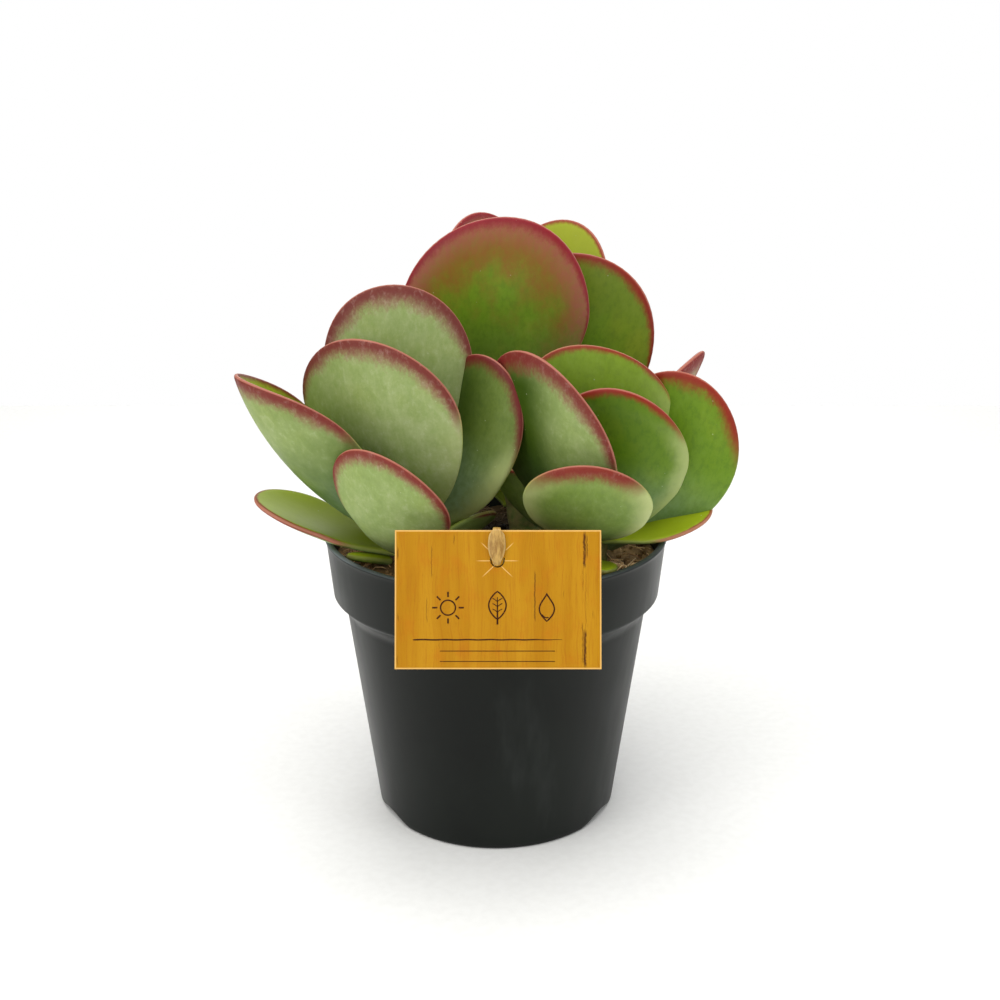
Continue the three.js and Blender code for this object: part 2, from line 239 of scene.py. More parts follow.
class Look:
    """A material painted coat by coat. A plain colour is given as it looks on a screen, 0 to 255."""

    def __init__(self, name, **settings):
        self.material = bpy.data.materials.new(name)
        self.material.use_nodes = True
        self.tree = self.material.node_tree
        self.shader = self.tree.nodes["Principled BSDF"]
        self.colour = None
        for label, value in settings.items():
            self.shader.inputs[label.replace("_", " ")].default_value = value

    def feed(self, socket, value):
        if isinstance(value, Field):
            self.tree.links.new(value.socket, socket)
        elif isinstance(value, tuple) and len(socket.default_value) == 4:
            socket.default_value = (*srgb(*value), 1)
        else:
            socket.default_value = value

    def node(self, kind, *values, **settings):
        """A new node with its first inputs set, None for those left alone, as the list of its outputs."""
        made = self.tree.nodes.new(kind)
        for label, value in settings.items():
            setattr(made, label, value)
        for socket, value in zip(made.inputs, values):
            if value is not None:
                self.feed(socket, value)
        return [Field(self, socket) for socket in made.outputs]

    def vector(self, name):
        return self.node("ShaderNodeAttribute", attribute_name=name)[1]

    def number(self, name):
        return self.node("ShaderNodeAttribute", attribute_name=name)[2]

    def parts(self, vector):
        return self.node("ShaderNodeSeparateXYZ", vector)

    def place(self):
        """Where a point lies in its piece, in metres."""
        return self.node("ShaderNodeTexCoord")[3]

    def math(self, operation, *values):
        return self.node("ShaderNodeMath", *values, operation=operation)[0]

    def stretched(self, vector, scale):
        return self.node("ShaderNodeVectorMath", vector, scale, operation="MULTIPLY")[0]

    def smooth(self, value, low, high, start=0.0, end=1.0):
        """From start to end while the value goes from low to high, and level beyond them."""
        kind = "ShaderNodeMapRange"
        return self.node(kind, value, low, high, start, end, interpolation_type="SMOOTHSTEP")[0]

    def noise(self, vector, scale, detail=3.0, roughness=0.5):
        """Noise of one scale, or of one for each axis."""
        if isinstance(scale, tuple):
            vector, scale = self.stretched(vector, scale), 1.0
        return self.node("ShaderNodeTexNoise", vector, None, scale, detail, roughness)[0]

    def spots(self, vector, scale, radius, share):
        """1 inside scattered round spots: a share of the cells of a grid of that scale holds one."""
        distance, cell, *_ = self.node("ShaderNodeTexVoronoi", vector, None, scale)
        chosen, size, _ = self.node("ShaderNodeSeparateColor", cell)
        size = size * radius
        return self.smooth(distance, size, size * 0.4) * self.math("LESS_THAN", chosen, share)

    def mix(self, share, a, b, blend="MIX"):
        unused = [None] * 5  # the node's inputs for numbers and vectors
        return self.node("ShaderNodeMix", share, *unused, a, b, data_type="RGBA", blend_type=blend)[2]

    def paint(self, share, colour):
        """A coat over what is painted so far, as thick as the share says."""
        self.colour = self.mix(share, self.colour, colour)

    def brighten(self, amount):
        grey = self.node("ShaderNodeCombineColor", amount, amount, amount)[0]
        self.colour = self.mix(1.0, self.colour, grey, "MULTIPLY")

    def bump(self, height, strength, distance_mm):
        normal = self.node("ShaderNodeBump", strength, distance_mm * MM, None, height)[0]
        self.feed(self.shader.inputs["Normal"], normal)

    def finish(self, roughness):
        self.feed(self.shader.inputs["Base Color"], self.colour)
        self.feed(self.shader.inputs["Roughness"], roughness)
        return self.material


def leaf_look():
    """Waxy leaf: green under a powdery bloom, crimson along the margin, a thin bright rim, and painted shade
    where leaves shade one another.
    """
    look = Look("waxy_leaf", Specular_IOR_Level=0.22, Subsurface_Weight=0.1,
                Subsurface_Radius=(0.9, 1.0, 0.2), Subsurface_Scale=1.2 * MM)
    smooth = look.smooth
    flat = look.vector("flat")  # mm across, mm along, one offset for each leaf
    margin, along, inner = look.parts(look.vector("spot"))  # mm to the outline, share of length, 1 inside
    (bloom, blush, red), (vivid, red_from, warm), (dim, frost, _), (pale, dusk, aside) = (
        look.parts(look.vector(name)) for name in LEAF_FIELDS)

    cloud = look.noise(flat, (0.06, 0.05, 1.0))
    streak = look.noise(flat, (0.4, 0.09, 1.0), 4.0, 0.6)
    patch = look.noise(flat, (0.15, 0.1, 1.0), 5.0, 0.62)
    mottle = look.noise(flat, (0.5, 0.3, 1.0), 6.0, 0.7)
    powder = look.noise(flat, 2.4, 3.0, 0.7)
    uneven = patch + streak * 0.1 - 0.55

    # The green itself, yellower on the inner face; deeper low down, partly its own colour and partly painted
    # shade towards the stem.
    deep = look.mix(vivid, (58, 88, 26), (50, 88, 6))
    low = smooth(along + cloud * 0.5, 0.9, 0.3)
    look.colour = look.mix(vivid, (116, 140, 52), (104, 140, 12))
    look.paint(low * smooth(bloom, 0.1, 0.9, 0.7, 0.4), deep)
    look.paint(smooth(cloud, 0.5, 0.72, 0.0, 0.3), (140, 158, 30))
    look.paint(smooth(mottle, 0.55, 0.35, 0.0, 0.3), deep)
    look.paint(inner * 0.75, (166, 182, 18))
    look.paint((warm * 0.6).at_least(0.0), (168, 178, 26))
    # Where this setting is negative it darkens the whole leaf instead: painted shade for a leaf turned from
    # the light.
    look.brighten(warm.at_most(0.0) * 0.5 + 1.0)

    # Painted shade: the side of a leaf that stands in another's shadow and the lower half of a leaf under
    # others are darkened, and their bloom is left off there.
    darkness = abs(dusk).at_most(1.0)
    shade = smooth(aside * dusk + (darkness - 0.6) * 0.5, -0.35, 0.35) * darkness
    shade = shade * smooth(along, 1.0, 0.85, 0.5, 1.0)
    look.paint(shade * 0.85, (34, 58, 3))
    # Painted shade over the lower half of a leaf that others overhang.
    under = smooth(along + cloud * 0.3, 0.95, 0.5) * dim
    look.paint(under * 0.8, (52, 80, 14))

    # A brown-red flush over the upper part and towards the margin.
    reach = along * 0.8 + smooth(margin, 24.0, 0.0, 0.0, 0.5) + uneven * 0.95 + (powder - 0.5) * 0.3
    flushed = look.mix(smooth(margin, 12.0, 0.5), (134, 74, 14), (158, 66, 70))
    look.paint(smooth(reach, 0.38, 1.0) * blush * smooth(mottle, 0.3, 0.65, 0.7, 0.92), flushed)

    # The bloom: a pale grey-green powder on the outer faces, in soft patches, rubbed off in spots.
    outer = smooth(inner, 0.9, 0.3, 0.12, 1.0)
    dust = smooth(uneven, -0.22, 0.3, 0.55, 1.0) * smooth(powder, 0.25, 0.7, 0.88, 1.0)
    dust = dust * smooth(low, 0.2, 1.0, 1.0, 0.8) * outer * bloom * (1.0 - shade) * (1.0 - under)
    wax = smooth(mottle, 0.5, 0.72) * dust
    look.paint(dust * 0.72, (186, 196, 146))
    look.paint(wax * 0.4, (204, 210, 176))
    look.paint(smooth(mottle, 0.5, 0.3) * dust * 0.35, (136, 168, 62))
    frosted = smooth(along, 0.66, 0.25) * frost * outer
    look.paint(frosted * smooth(mottle, 0.3, 0.7, 0.6, 1.0), (142, 166, 134))

    # A paler border where the margin isn't red: partly its own colour, partly painted light shining through
    # the thin edge.
    topness = smooth(along + (cloud - 0.5) * 0.2 - red_from, 0.0, 0.2)
    look.paint(smooth(margin + uneven * 6.0, 9.0, 0.5) * (1.0 - topness) * pale, (184, 194, 128))

    # The crimson margin, widest round the tip, fading inwards in fine streaks.
    fray = look.noise(flat, (1.1, 0.6, 1.0), 4.0, 0.7)
    width = red * (patch * 1.3 + fray * 1.1 - 0.3) * smooth(along, 0.5, 0.95, 0.35, 1.05)
    depth = margin / (width * smooth(inner, 0.5, 1.0, 1.0, 0.4))
    crimson = look.mix(blush * 0.6, (100, 8, 28), (150, 24, 40))
    crimson = look.mix(vivid * (1.0 - blush), crimson, (142, 20, 24))
    crimson = look.mix(dust * smooth(depth, 0.1, 1.1, 0.04, 0.7), crimson, (166, 90, 104))
    crimson = look.mix(wax * 0.5, crimson, (186, 150, 140))
    look.paint(smooth(depth, 1.45, 0.25) * topness * 0.93, crimson)

    # The rim line: peach where the margin is red, pale yellow-green elsewhere.
    rim = look.mix(topness * smooth(red, 0.4, 2.5), (172, 184, 100), (190, 124, 104))
    look.paint(smooth(margin, 0.36, 0.06, 0.0, 0.7), rim)

    # Specks of wax and a few old scars.
    look.paint(look.spots(flat, 0.4, 0.12, 0.4) * 0.4, (204, 210, 176))
    scars = look.spots(look.stretched(flat, (1.0, 0.4, 1.0)), 0.14, 0.1, 0.12)
    look.paint(scars * 0.45, (62, 88, 30))
    look.brighten(smooth(streak, 0.25, 0.75, 0.975, 1.02))
    look.bump(streak * 0.2 + powder * 0.1 - scars * 0.5, 0.3, 0.2)
    return look.finish(smooth(dust, 0.0, 0.8, 0.42, 0.62))


def stem_look():
    look = Look("stem_skin", Specular_IOR_Level=0.3)
    place = look.place()
    mottle = look.noise(place, 180.0, 4.0, 0.6)
    fine = look.noise(look.stretched(place, (1.0, 1.0, 4.0)), 900.0)
    look.colour = look.mix(look.smooth(mottle, 0.35, 0.65), (96, 120, 56), (142, 134, 84))
    look.paint(look.smooth(fine, 0.5, 0.8, 0.0, 0.4), (104, 82, 52))
    look.bump(mottle, 0.5, 0.6)
    return look.finish(look.smooth(fine, 0.3, 0.7, 0.5, 0.7))


def pot_look():
    """Satin slate-black plastic with faint smears, fine scuffs and a few specks of dust, a painted highlight
    along the lip and painted light and shade between collar and wall.
    """
    look = Look("slate_plastic", Specular_IOR_Level=0.17)
    smooth = look.smooth
    place = look.place()
    cloud = look.noise(place, 14.0, 4.0, 0.55)
    smear = look.noise(place, (60.0, 60.0, 14.0), 4.0, 0.6)
    grain = look.noise(place, 2600.0, 2.0)
    look.colour = look.mix(smooth(cloud, 0.35, 0.68), (10, 14, 11), (21, 26, 22))
    look.paint(smooth(smear, 0.56, 0.8, 0.0, 0.22), (66, 70, 68))
    look.paint(look.spots(place, 150.0, 0.05, 0.05) * 0.6, (170, 168, 158))
    height = look.parts(place)[2]
    # Painted light and shade: the collar a little lighter, the wall below it darker.
    look.brighten(smooth(height, 0.074, 0.083, 0.82, 1.08))  # the collar is a little lighter than the wall
    # Painted highlight: a thin pale bluish line along the top of the lip.
    lip_highlight = smooth(height, 0.1024, 0.1027) * smooth(cloud, 0.4, 0.6, 0.25, 1.0)
    look.paint(lip_highlight, (112, 120, 122))
    scratches = look.spots(look.stretched(place, (1.0, 1.0, 0.12)), 420.0, 0.1, 0.05)
    look.paint(scratches * 0.22, (120, 124, 122))
    look.bump(grain * 0.12 + smear * 0.3, 0.22, 0.2)
    return look.finish(smooth(cloud + smear, 0.7, 1.3, 0.3, 0.46))


def paint_soil_shade(look, place, rim, middle_shade, rim_light):
    """Painted light and shade on the earth: darkened under the leaves in the pot's middle, lightened out to
    the rim in metres, and darkened at the back.
    """
    x, y, _ = look.parts(place)
    from_middle = look.math("SQRT", x * x + y * y)
    look.brighten(look.smooth(from_middle, 0.026, rim, middle_shade, rim_light) * look.smooth(y, 0.02, 0.0, 0.25, 1.0))


def peat_look():
    look = Look("peat", Specular_IOR_Level=0.15)
    place = look.place()
    coarse = look.noise(place, 260.0, 5.0, 0.65)
    fine = look.noise(place, 1500.0, 4.0, 0.7)
    look.colour = look.mix(look.smooth(coarse, 0.3, 0.7), (112, 88, 56), (176, 142, 98))
    look.paint(look.smooth(fine, 0.55, 0.8, 0.0, 0.7), (186, 150, 104))
    look.paint(look.number("tone"), (196, 152, 100))
    # Painted shade over the middle and back of the peat, painted light near the rim.
    paint_soil_shade(look, place, 0.046, 0.2, 1.1)
    look.bump(coarse + fine * 0.6, 0.9, 0.8)
    return look.finish(look.smooth(fine, 0.3, 0.8, 0.85, 1.0))


def fibre_look():
    look = Look("coir", Specular_IOR_Level=0.25)
    place = look.place()
    grain = look.noise(place, 900.0)
    look.colour = look.mix(look.number("tone"), (150, 108, 66), (232, 200, 152))
    look.brighten(look.smooth(grain, 0.3, 0.7, 0.75, 1.15))
    # Painted shade over the middle and back of the fibres, painted light near the rim.
    paint_soil_shade(look, place, 0.044, 0.14, 1.4)
    look.bump(grain, 0.5, 0.1)
    return look.finish(look.smooth(grain, 0.3, 0.7, 0.6, 0.8))


CARD_CRACKS = (  # across, from, to, half width, darkness
    (58.8, 31.5, 42.4, 0.6, 0.95),
    (59.6, 34.5, 41.5, 0.3, 0.7),
    (58.3, 24.0, 31.0, 0.2, 0.4),
    (58.9, 0.6, 12.0, 0.6, 0.95),
    (58.2, 2.0, 14.0, 0.25, 0.6),
    (59.2, 12.0, 30.0, 0.15, 0.35),
    (43.4, 15.0, 30.0, 0.32, 0.7),
    (11.4, 28.5, 38.0, 0.25, 0.5),
    (9.9, 14.5, 22.0, 0.22, 0.5),
    (0.9, 34.0, 37.5, 0.3, 0.8),
    (1.0, 15.0, 17.0, 0.25, 0.6),
    (0.9, 1.0, 4.0, 0.25, 0.5),
    (18.4, 38.6, 41.6, 0.25, 0.5),
    (61.4, 16.0, 18.0, 0.25, 0.4),
    (13.8, 6.5, 8.0, 0.2, 0.35),
    (52.4, 22.0, 24.5, 0.2, 0.35),
)
FOLD_MARKS = (  # off the slit's middle and above it, from the slit outwards
    (2.3, -0.3, 6.4, -0.3),
    (2.6, 3.0, 4.9, 5.2),
    (1.2, -2.0, 4.6, -5.2),
)


def stroke(look, across, up, x, low, high, width):
    """1 on a thin upright mark at x on the card, from low to high, with soft ends."""
    near = look.smooth(abs(across - x), width, width * 0.3)
    return near * (look.smooth(up, low - 0.8, low + 1.2) * look.smooth(up, high + 0.8, high - 1.2))


def segment(look, x, y, x0, y0, x1, y1):
    """1 on a thin line from (x0, y0) to (x1, y1)."""
    length = math.hypot(x1 - x0, y1 - y0)
    ux, uy = (x1 - x0) / length, (y1 - y0) / length
    dx, dy = x - x0, y - y0
    run = dx * ux + dy * uy
    near = look.smooth(abs(dx * uy - dy * ux), 0.2, 0.06)
    return near * (look.smooth(run, -0.3, 0.3) * look.smooth(run, length + 0.6, length * 0.6))


def card_look():
    """Printed card: ochre boards with upright grain, dark cracks and a cream cut edge."""
    look = Look("printed_card", Specular_IOR_Level=0.12)
    smooth = look.smooth
    flat = look.vector("flat")
    across, up, front = look.parts(flat)
    sway = look.noise(flat, (0.06, 0.09, 1.0), 2.0)
    bent = look.node("ShaderNodeCombineXYZ", across + sway * 2.4, up, 0.0)[0]
    boards = look.noise(bent, (0.14, 0.012, 1.0), 2.0)
    grain = look.noise(bent, (1.7, 0.06, 1.0), 5.0, 0.66)
    pores = look.noise(bent, (4.6, 0.4, 1.0), 3.0, 0.6)
    clouds = look.noise(flat, (0.16, 0.11, 1.0), 4.0, 0.55)
    look.colour = look.mix(smooth(boards, 0.35, 0.65), (172, 118, 8), (184, 132, 19))
    look.paint(smooth(clouds, 0.48, 0.75, 0.0, 0.5), (182, 106, 14))
    look.paint(smooth(grain, 0.46, 0.7, 0.0, 0.45), (160, 94, 10))
    look.paint(smooth(pores, 0.58, 0.78, 0.0, 0.45), (126, 68, 8))
    shaken = across + (look.noise(flat, (0.0, 0.5, 1.0), 4.0, 0.7) - 0.5) * 1.3
    ragged = smooth(pores, 0.3, 0.55, 0.45, 1.0)
    for *mark, dark in CARD_CRACKS:
        look.paint(stroke(look, shaken, up, *mark) * ragged * dark, (74, 34, 8))

    # Crease lines pressed into the card round the slit: the bump is the crease, the pale colour along it a
    # painted glint.
    middle, level = SLIT_MIDDLE
    crease_and_glint = 0.0
    for x0, y0, x1, y1 in FOLD_MARKS:
        crease_and_glint = segment(look, abs(across - middle), up, x0, level + y0, x1, level + y1).at_least(crease_and_glint)
    look.paint(crease_and_glint * (front * 0.65), (238, 196, 122))

    # The cut edge, the plain back, and painted shade on the walls of the slit.
    side = across.at_most(CARD_WIDTH - across)
    edge = smooth(side.at_most(up.at_most(CARD_HEIGHT - up)), 0.55, 0.3)
    look.paint(edge * 0.75, (236, 190, 112))
    look.paint(smooth(front, 0.7, 0.3), (226, 214, 190))
    look.paint(look.number("slit"), (70, 40, 12))
    look.bump(pores * 0.15 - crease_and_glint * 0.6, 0.3, 0.15)
    return look.finish(smooth(clouds, 0.3, 0.7, 0.42, 0.55))


def ink_look():
    look = Look("brown_ink", Specular_IOR_Level=0.1)
    worn = look.noise(look.place(), 1400.0, 4.0, 0.7)
    look.colour = look.mix(look.smooth(worn, 0.52, 0.72, 0.0, 0.55), (58, 26, 8), (140, 84, 20))
    look.bump(worn, 0.2, 0.05)
    return look.finish(look.smooth(worn, 0.3, 0.7, 0.45, 0.6))


def stake_look():
    look = Look("tan_plastic", Specular_IOR_Level=0.5, Subsurface_Weight=0.25,
                Subsurface_Radius=(1.0, 0.7, 0.4), Subsurface_Scale=1.0 * MM)
    line = look.noise(look.place(), (900.0, 260.0, 260.0), 4.0, 0.65)
    look.colour = look.mix(look.smooth(line, 0.35, 0.65), (142, 102, 34), (190, 152, 78))
    look.paint(look.smooth(abs(look.number("across")), 0.7, 1.0, 0.0, 0.5), (214, 184, 118))
    look.bump(line, 0.4, 0.15)
    return look.finish(look.smooth(line, 0.3, 0.7, 0.32, 0.5))


def floor_look():
    look = Look("studio_floor", Specular_IOR_Level=0.1)
    grain = look.noise(look.place(), 300.0)
    look.colour = look.mix(look.smooth(grain, 0.3, 0.7), (248, 248, 246), (252, 252, 250))
    return look.finish(0.9)


# ---------------------------------------------------------------- leaves

# Each leaf leaves its stem at a height above the soil, points to an azimuth (0 right, -90 front), rises
# from its first to its last angle and is cupped towards its upper face, all in degrees and millimetres. Roll
# turns it about its midrib, slant leans its tip to one side, widest is where along it it is broadest, full
# and point shape its outline below and above that place, start is how far from the stem's middle it begins,
# and ripple is how wavy its edge is. Its finish: bloom is how powdery it is, blush how brown-red its upper
# part is, red the width of the crimson margin, red_from where along the leaf that starts, vivid how fresh the
# green is, warm how yellow (negative is painted shade that darkens the whole leaf), pale how light its border
# is (partly its own colour, partly painted light through the thin edge), dusk how much painted shade darkens
# one side (the right one where it is positive, the left one where negative), dim how much painted shade
# darkens its lower half (negative lightens it with more bloom) and frost how grey its base is. Aside is a
# point's place across the leaf, -1 to 1.
LEAF_FIELDS = {  # the attributes that carry the finish to the material, three numbers in each
    "finish": ("bloom", "blush", "red"),
    "growth": ("vivid", "red_from", "warm"),
    "lower": ("dim", "frost", "spare"),
    "light": ("pale", "dusk", "aside"),
}
MEASURES = ("height", "azimuth", "rise", "length", "width", "cup")
LEAF_DEFAULTS = dict(
    roll=0, slant=0, widest=LEAF_WIDEST, full=LEAF_FULL, point=0.5, start=LEAF_START, ripple=0.35,
    bloom=0.5, blush=0.0, red=4.0, red_from=0.5, vivid=0.4, warm=0.0, pale=0.0, dusk=0.0, dim=0.0, frost=0.15,
)


def leaf_row(*measures, **rest):
    """A leaf from its MEASURES, in that order, and whatever else of it isn't as in LEAF_DEFAULTS."""
    return {**LEAF_DEFAULTS, **dict(zip(MEASURES, measures)), **rest}


ROSETTES = {  # where each stem starts and ends, how high it is above the soil, and its leaves
    "left": dict(foot=(-29, -8), top=(-31, -10), height=44, leaves={
        "sprout": leaf_row(3, -140, (20, 16), 18.5, 6.5, 15, widest=0.4, point=1, start=10,
            red=0.3, red_from=0.8, bloom=0.1),
        "side_low_left": leaf_row(5, -172, (14, 33), 55, 29, 25, roll=-8,
            bloom=0.35, red=2.2, red_from=0.3, vivid=0.6, pale=0.2),
        "side_low_right": leaf_row(3, 5, (20, 40), 30, 22, 20, roll=-30, red=1, red_from=0.7),
        "front_low": leaf_row(5, -98, (17, 82), 65, 40, 22, roll=-12, slant=-0.3, widest=0.7, full=2.2,
            bloom=0.72, red=4.5, red_from=0.45),
        "back_low": leaf_row(7, 100, (18, 60), 48, 40, 22),
        "side_left": leaf_row(10, -154, (26, 72), 85, 62, 80, full=0.7,
            bloom=0.78, red=6, red_from=0.5, vivid=0.3, dusk=0.3, dim=1.2, frost=0.3),
        "side_right": leaf_row(13, -28, (49, 88), 70, 38, 22, roll=-104, widest=0.66,
            bloom=0.15, red=4, red_from=0.5, vivid=0.1, pale=0.9, frost=1.0, dusk=-0.8, warm=-0.6),
        "front_mid": leaf_row(18, -115, (52, 86), 72, 60, 24, full=0.7,
            bloom=0.85, red=6, red_from=0.5, vivid=0.2, pale=0.35, dim=-0.6, frost=0),
        "back_mid": leaf_row(19, 125, (40, 72), 50, 38, 22),
        "front_top": leaf_row(30, -100, (75, 91), 70, 50, 20, roll=10,
            bloom=0.9, red=7, red_from=0.5, vivid=0.1, pale=0.2, frost=0),
        "inner_left": leaf_row(37, 165, (70, 86), 24, 14, 22, red=2),
        "inner_right": leaf_row(37, 30, (70, 86), 24, 14, 22, red=2),
    }),
    "right": dict(foot=(33, -8), top=(35, -10), height=36, leaves={
        "sprout": leaf_row(3, -84, (12, 14), 21, 11, 15, widest=0.5, point=0.7, start=10,
            red=0.3, red_from=0.8, bloom=0.1),
        "side_low_left": leaf_row(6, 168, (32, 50), 40, 20, 20, roll=55, red=1.5, red_from=0.2, vivid=0.7),
        "side_low_right": leaf_row(10.5, -3, (10, 24), 39.5, 22, 25, roll=28,
            bloom=0.3, red=2, red_from=0.35, vivid=0.8, warm=0.1),
        "front_low": leaf_row(12, -98, (8, 80), 55, 43, 22, widest=0.64,
            bloom=0.3, red=5.5, red_from=0.74, frost=0.1, vivid=0.6, pale=0.9, warm=-0.2),
        "side_left": leaf_row(10, -130, (43, 90), 78, 52, 22, roll=-2, slant=-0.2,
            bloom=0.75, red=6.5, red_from=0.4, vivid=0.3, dusk=-1.0),
        "side_right": leaf_row(7, -8, (42, 88), 69.5, 45, 20, roll=-98, slant=-0.3, widest=0.64, full=1,
            bloom=0.06, red=5, red_from=0.66, frost=0.5, vivid=1.0, warm=-0.1),
        "front_mid": leaf_row(9, -64, (61, 83), 60, 48, 20, roll=-28, slant=-0.25, widest=0.6, full=0.8,
            ripple=0.9, bloom=0.03, frost=0.5, red=2.5, red_from=0.72, vivid=1.0, pale=0.7, dusk=-0.6,
            warm=-0.3),
        "front_top": leaf_row(22.5, -88, (80, 92), 56, 52, 20, slant=-0.2, full=1,
            bloom=0.12, warm=0.25, red=2, red_from=0.68, vivid=0.9, pale=0.3),
        "back_right": leaf_row(20, 36, (41, 54), 68, 30, 22, roll=-56, point=0.85,
            bloom=1.6, blush=1.0, red=9, red_from=0.3),
        "back_mid": leaf_row(15, 110, (38, 62), 42, 36, 22),
        "inner_left": leaf_row(30, 170, (70, 86), 22, 13, 22, red=2),
        "inner_right": leaf_row(30, 65, (70, 86), 22, 13, 22, red=2),
    }),
    "rear": dict(foot=(11, 22), top=(2, 24), height=62, leaves={
        "back_low": leaf_row(10, 95, (20, 60), 56, 46, 22),
        "side_low_left": leaf_row(22, 148, (30, 62), 50, 40, 22),
        "side_low_right": leaf_row(20, 55, (30, 62), 50, 40, 22),
        "front": leaf_row(38, -115, (66, 90), 82, 68, 15, roll=15, slant=0.2, widest=0.57,
            bloom=0.06, blush=1.0, red=3.5, red_from=0.3, vivid=0.9, warm=0.05),
        "back": leaf_row(32, 95, (45, 78), 66, 56, 18, blush=0.4),
        "right": leaf_row(35, -6, (62, 80), 73, 62, 15, roll=-95, widest=0.55, full=0.7,
            bloom=0.05, blush=0.12, red=3.5, red_from=0.35, vivid=0.9, warm=-0.15),
        "back_right": leaf_row(41, 45, (62, 78), 77, 44, 20, roll=25,
            blush=0.1, red=3.5, vivid=1.0, warm=0.5),
        "left": leaf_row(50, 126, (72, 86), 68, 38, 15, roll=-10,
            blush=1.0, bloom=1.8, red=8, red_from=0.2),
    }),
}


def paddle(t, leaf):
    """Half the width at a share t of the length: a narrow neck, widest past the middle, a round tip."""
    half, widest = leaf["width"] / 2, leaf["widest"]
    neck = min(LEAF_NECK / leaf["width"], NARROWEST_NECK)
    rising = neck + (1 - neck) * np.sin(math.pi / 2 * np.clip(t / widest, 0, 1)) ** leaf["full"]
    closing = np.maximum(0, 1 - ((t - widest) / (1 - widest)) ** 2) ** leaf["point"]
    return half * np.where(t <= 0, neck, np.where(t < widest, rising, closing))


def midrib(leaf):
    """Frames along the midrib: points, right-hand sides and upper faces."""
    t = np.linspace(0, 1, MIDRIB_STEPS + 1)
    turn = math.radians(leaf["azimuth"])
    rise = np.radians(lerp(*leaf["rise"], t))
    roll = math.radians(leaf["roll"]) * (0.5 + 0.5 * smoothstep(0, 0.5, t))[:, None]
    along = np.stack([np.cos(rise) * math.cos(turn), np.cos(rise) * math.sin(turn), np.sin(rise)], 1)
    level = np.array([-math.sin(turn), math.cos(turn), 0])
    up = np.cross(along, level)
    side = level * np.cos(roll) + up * np.sin(roll)
    face = up * np.cos(roll) - level * np.sin(roll)
    at = np.vstack([[0, 0, 0], np.cumsum(along[:-1], axis=0)]) * leaf["length"] / MIDRIB_STEPS
    return at, side, face


def on_sheet(leaf, frames, x, y):
    """Points of the leaf's middle sheet that lie x across and y along the flat leaf."""
    place = y / leaf["length"] * (1 + leaf["slant"] * x / leaf["length"]) * MIDRIB_STEPS
    i = np.clip(np.floor(place).astype(int), 0, MIDRIB_STEPS - 1)
    part = (place - i)[:, None]
    at, side, face = (lerp(rows[i], rows[i + 1], part) for rows in frames)
    bend = math.radians(leaf["cup"]) / (leaf["width"] / 2)
    across = np.sin(bend * x) / bend
    lift = (1 - np.cos(bend * x)) / bend
    return at + side * across[:, None] + face * lift[:, None]


def leaf_outline(leaf):
    """The flat outline, from the middle of the base round the right side, the tip and the left side."""
    per_side, tip_steps, base_steps = 30, 16, 3
    widest, length = leaf["widest"], leaf["length"]
    share = np.concatenate([
        widest * np.linspace(0, 1, per_side, endpoint=False),
        widest + (1 - widest) * np.sin(math.pi / 2 * np.linspace(0, 1, tip_steps + 1)),
    ])
    right = np.stack([paddle(share, leaf), share * length], 1)
    left = right[-2::-1] * (-1, 1)
    base = np.stack([np.linspace(0, right[0, 0], base_steps, endpoint=False), np.zeros(base_steps)], 1)
    return np.vstack([base, right, left, base[:0:-1] * (-1, 1)])


def wave(rng, turns, q):
    """A smooth random wave round a closed outline, about 1 high."""
    total = np.zeros_like(q)
    for k in turns:
        total += rng.uniform(0.5, 1.0) / len(turns) * np.cos(2 * math.pi * (k * q + rng.random()))
    return total


def leaf_rings(reach):
    """Rings round a leaf's widest place, as shares of the way out; the last ones step round its rim."""
    flat = (0.1, 0.2, 0.3, 0.4, 0.5, 0.59, 0.67, 0.74, 0.8, 0.86, LAST_FLAT_RING)
    inset = RIM_ROUNDING * (1 - np.cos(np.radians([90, 66, 44, 22])))
    rings = [np.full(len(reach), share) for share in flat]
    rings += [np.maximum(1 - d / reach, LAST_FLAT_RING + 0.01) for d in inset]
    return [*rings, np.ones(len(reach))]


def sheet_normals(leaf, frames, x, y):
    """Which way the leaf's middle sheet faces outwards, away from the stem."""
    step = 0.5
    dx = on_sheet(leaf, frames, x + step, y) - on_sheet(leaf, frames, x - step, y)
    dy = on_sheet(leaf, frames, x, y + step) - on_sheet(leaf, frames, x, y - step)
    normal = np.cross(dx, dy)
    return normal / np.linalg.norm(normal, axis=1)[:, None]


def half_thickness(leaf, x, t, from_rim):
    """Half the thickness at x across and a share t along: most in the middle, thin and round at the rim."""
    rounded = np.sqrt(np.maximum(0, 1 - (x / np.maximum(paddle(t, leaf), 1e-6)) ** 2))
    body = (LEAF_THICKNESS - LEAF_EDGE) * np.sqrt(np.maximum(0, 1 - np.clip(t, 0, 1) ** 4))
    rim = np.sqrt(1 - (1 - np.clip(from_rim / RIM_ROUNDING, 0, 1)) ** 2)
    return (LEAF_EDGE + body * rounded) / 2 * rim


def leaf_faces(count, rings, inner_at):
    """The outer and the inner face; inner_at holds the inner point's index for each outer one."""
    faces = []
    for i in range(count):
        j = (i + 1) % count
        faces += [(0, 1 + i, 1 + j), inner_at[[0, 1 + j, 1 + i]]]
    for k in range(rings - 1):
        for a, b, c, d in ring_faces(1 + k * count, 1 + (k + 1) * count, count):
            faces += [(a, d, c, b), inner_at[[a, b, c, d]]]
    return faces


